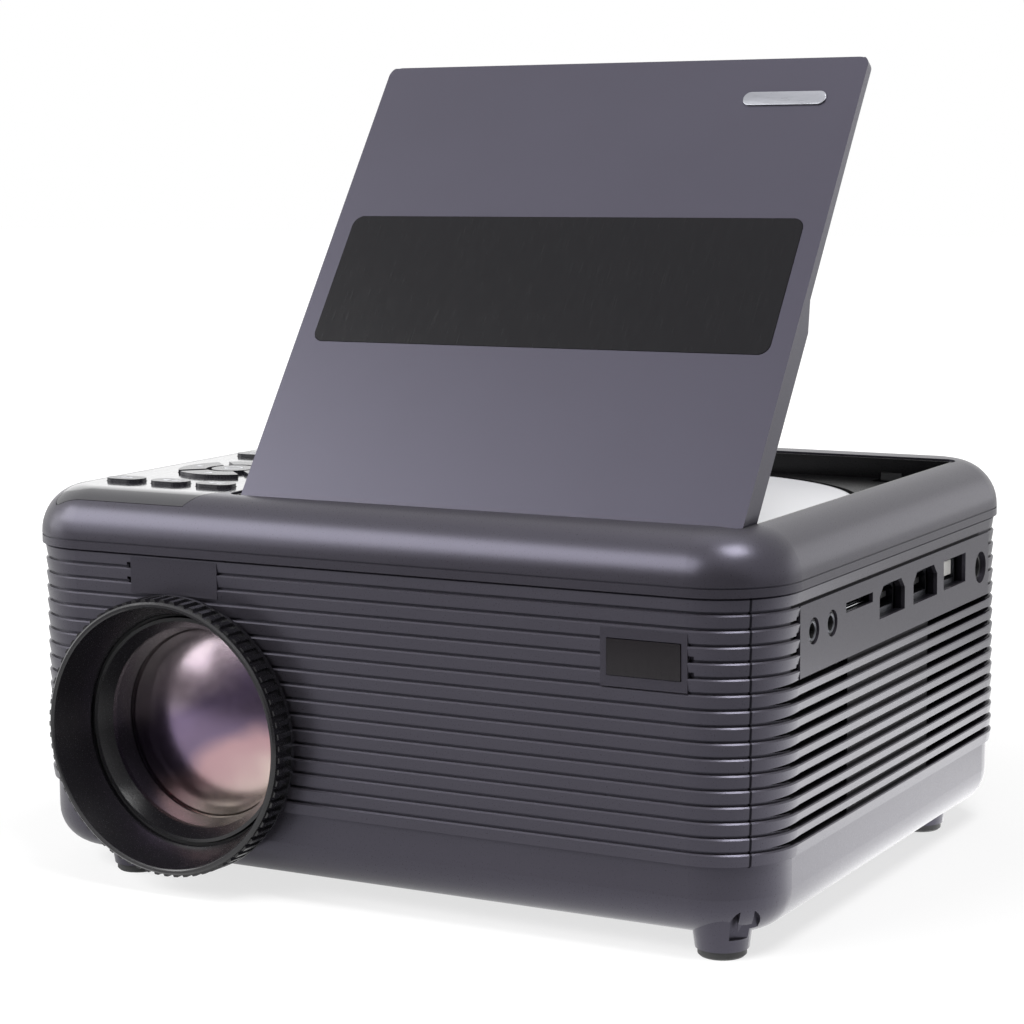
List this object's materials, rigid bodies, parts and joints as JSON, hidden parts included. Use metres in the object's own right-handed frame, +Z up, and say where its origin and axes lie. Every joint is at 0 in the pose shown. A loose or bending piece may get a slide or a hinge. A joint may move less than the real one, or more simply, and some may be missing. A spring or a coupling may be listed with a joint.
{
  "type": "projector with built-in disc player",
  "caption": "Desktop projector with ribbed housing, knurled focus ring, side sockets, top keys and a spring lid standing open over a disc bay.",
  "frame": {"origin": "on the floor under the middle of the outline, lid open", "axes": "+Z up, +Y from the lens towards the back, +X towards the side with the sockets"},
  "size_m": [0.21, 0.1774, 0.2046],
  "materials": {
    "charcoal_abs": "satin moulded ABS, fine spark texture",
    "gloss_black": "polished black acrylic",
    "smoked_window": "smoked infrared window",
    "bay_black": "gloss black moulded ABS",
    "circuit_board": "green solder mask on glass-fibre board",
    "socket_black": "black moulded nylon",
    "socket_steel": "tinned steel shell",
    "inner_black": "matt black moulded ABS",
    "led_board": "aluminium-core board with a phosphor emitter",
    "bare_aluminium": "extruded aluminium",
    "clear_glass": "pressed glass",
    "clear_sheet": "grooved acrylic sheet",
    "lcd_glass": "liquid crystal panel in a frame",
    "ring_black": "semi-gloss black polycarbonate",
    "coated_glass": "lens glass with a purple coating",
    "speaker_cone": "paper cone in a steel basket",
    "motor_steel": "plated steel",
    "hub_black": "black moulded POM",
    "disc_silver": "metallised polycarbonate disc",
    "sled_grey": "grey moulded PPS",
    "pickup_glass": "small moulded pickup lens",
    "brass_screw": "rolled lead screw",
    "lid_abs": "satin moulded ABS",
    "lid_gloss": "gloss black acrylic inlay",
    "spring_steel": "spring wire",
    "key_plastic": "moulded black keys",
    "foot_rubber": "moulded rubber",
    "brass_insert": "turned brass insert",
    "screw_steel": "plated screws"
  },
  "bodies": {
    "case": {"bottom_cover": "charcoal_abs", "ribbed_frame": "charcoal_abs", "top_cover": "charcoal_abs", "control_panel": "gloss_black", "remote_window": "smoked_window", "disc_deck": "bay_black", "main_board": "circuit_board", "key_board": "circuit_board", "headphone_jack": "socket_black", "av_jack": "socket_black", "card_slot": "socket_steel", "video_socket_1": "socket_steel", "video_socket_2": "socket_steel", "usb_socket": "socket_steel", "power_jack": "socket_black", "light_housing": "inner_black", "led_module": "led_board", "heat_sink": "bare_aluminium", "condenser_lens": "clear_glass", "fresnel_lens": "clear_sheet", "lcd_panel": "lcd_glass", "field_lens": "clear_sheet", "lens_holder": "inner_black", "fan_frame": "inner_black", "speaker": "speaker_cone", "traverse_frame": "inner_black", "spindle_motor": "motor_steel", "guide_rods": "motor_steel", "sled_motor": "motor_steel", "lid_spring": "spring_steel", "catch_spring": "spring_steel", "rubber_feet": "foot_rubber", "tripod_insert": "brass_insert", "case_screws": "screw_steel", "remote_receiver": "inner_black"},
    "ring": {"focus_ring": "ring_black"},
    "lens": {"lens_barrel": "ring_black", "front_lens": "coated_glass", "rear_lens": "coated_glass"},
    "fan": {"fan_rotor": "inner_black"},
    "spindle": {"turntable": "hub_black"},
    "disc": {"disc": "disc_silver"},
    "sled": {"pickup_sled": "sled_grey", "objective_lens": "pickup_glass"},
    "sled_screw": {"sled_screw": "brass_screw"},
    "lid": {"lid": "lid_abs", "lid_window": "lid_gloss", "hinge_pins": "motor_steel"},
    "catch": {"lid_catch": "inner_black"},
    "power_key": {"power_key": "key_plastic"},
    "source_key": {"source_key": "key_plastic"},
    "menu_key": {"menu_key": "key_plastic"},
    "up_key": {"up_key": "key_plastic"},
    "down_key": {"down_key": "key_plastic"},
    "left_key": {"left_key": "key_plastic"},
    "right_key": {"right_key": "key_plastic"},
    "ok_key": {"ok_key": "key_plastic"},
    "previous_key": {"previous_key": "key_plastic"},
    "play_key": {"play_key": "key_plastic"},
    "next_key": {"next_key": "key_plastic"}
  },
  "joints": [
    {"name": "lid_hinge", "type": "hinge", "parent": "case", "child": "lid", "pos_m": [0, -0.06325, 0.095], "axis": [1, 0, 0], "range_deg": [-54.6, 0], "stiffness_Nm_per_rad": 0.03, "springref_deg": 68.75},
    {"name": "focus_turn", "type": "hinge", "parent": "case", "child": "ring", "pos_m": [-0.0542, -0.08125, 0.0398], "axis": [0, 1, 0], "range_deg": [-70, 70]},
    {"name": "lens_travel", "type": "slide", "parent": "case", "child": "lens", "axis": [0, 1, 0], "range_m": [-0.00201, 0.00201]},
    {"name": "fan_spin", "type": "hinge", "parent": "case", "child": "fan", "pos_m": [-0.0542, 0.07675, 0.0398], "axis": [0, 1, 0], "continuous": true},
    {"name": "disc_spin", "type": "hinge", "parent": "case", "child": "spindle", "pos_m": [0.02675, 0.00375, 0.093], "axis": [0, 0, 1], "continuous": true},
    {"name": "disc_lift", "type": "slide", "parent": "spindle", "child": "disc", "axis": [0, 0, 1], "range_m": [0, 0.004]},
    {"name": "sled_travel", "type": "slide", "parent": "case", "child": "sled", "axis": [0, 1, 0], "range_m": [0, 0.033]},
    {"name": "screw_turn", "type": "hinge", "parent": "case", "child": "sled_screw", "pos_m": [0.05375, 0.00375, 0.0846], "axis": [0, 1, 0], "range_deg": [0, 2971]},
    {"name": "catch_slide", "type": "slide", "parent": "case", "child": "catch", "axis": [0, -1, 0], "range_m": [0, 0.0022], "stiffness_N_per_m": 60, "springref_m": -0.001},
    {"name": "power_press", "type": "slide", "parent": "case", "child": "power_key", "axis": [0, 0, -1], "range_m": [0, 0.0008], "stiffness_N_per_m": 400, "springref_m": -0.0006},
    {"name": "source_press", "type": "slide", "parent": "case", "child": "source_key", "axis": [0, 0, -1], "range_m": [0, 0.0008], "stiffness_N_per_m": 400, "springref_m": -0.0006},
    {"name": "menu_press", "type": "slide", "parent": "case", "child": "menu_key", "axis": [0, 0, -1], "range_m": [0, 0.0008], "stiffness_N_per_m": 400, "springref_m": -0.0006},
    {"name": "up_press", "type": "slide", "parent": "case", "child": "up_key", "axis": [0, 0, -1], "range_m": [0, 0.0008], "stiffness_N_per_m": 400, "springref_m": -0.0006},
    {"name": "down_press", "type": "slide", "parent": "case", "child": "down_key", "axis": [0, 0, -1], "range_m": [0, 0.0008], "stiffness_N_per_m": 400, "springref_m": -0.0006},
    {"name": "left_press", "type": "slide", "parent": "case", "child": "left_key", "axis": [0, 0, -1], "range_m": [0, 0.0008], "stiffness_N_per_m": 400, "springref_m": -0.0006},
    {"name": "right_press", "type": "slide", "parent": "case", "child": "right_key", "axis": [0, 0, -1], "range_m": [0, 0.0008], "stiffness_N_per_m": 400, "springref_m": -0.0006},
    {"name": "ok_press", "type": "slide", "parent": "case", "child": "ok_key", "axis": [0, 0, -1], "range_m": [0, 0.0008], "stiffness_N_per_m": 400, "springref_m": -0.0006},
    {"name": "previous_press", "type": "slide", "parent": "case", "child": "previous_key", "axis": [0, 0, -1], "range_m": [0, 0.0008], "stiffness_N_per_m": 400, "springref_m": -0.0006},
    {"name": "play_press", "type": "slide", "parent": "case", "child": "play_key", "axis": [0, 0, -1], "range_m": [0, 0.0008], "stiffness_N_per_m": 400, "springref_m": -0.0006},
    {"name": "next_press", "type": "slide", "parent": "case", "child": "next_key", "axis": [0, 0, -1], "range_m": [0, 0.0008], "stiffness_N_per_m": 400, "springref_m": -0.0006}
  ],
  "couplings": [
    {"joint": "lens_travel", "follows": "focus_turn", "m_per_rad": 0.001637},
    {"joint": "screw_turn", "follows": "sled_travel", "rad_per_m": 1570.8}
  ]
}
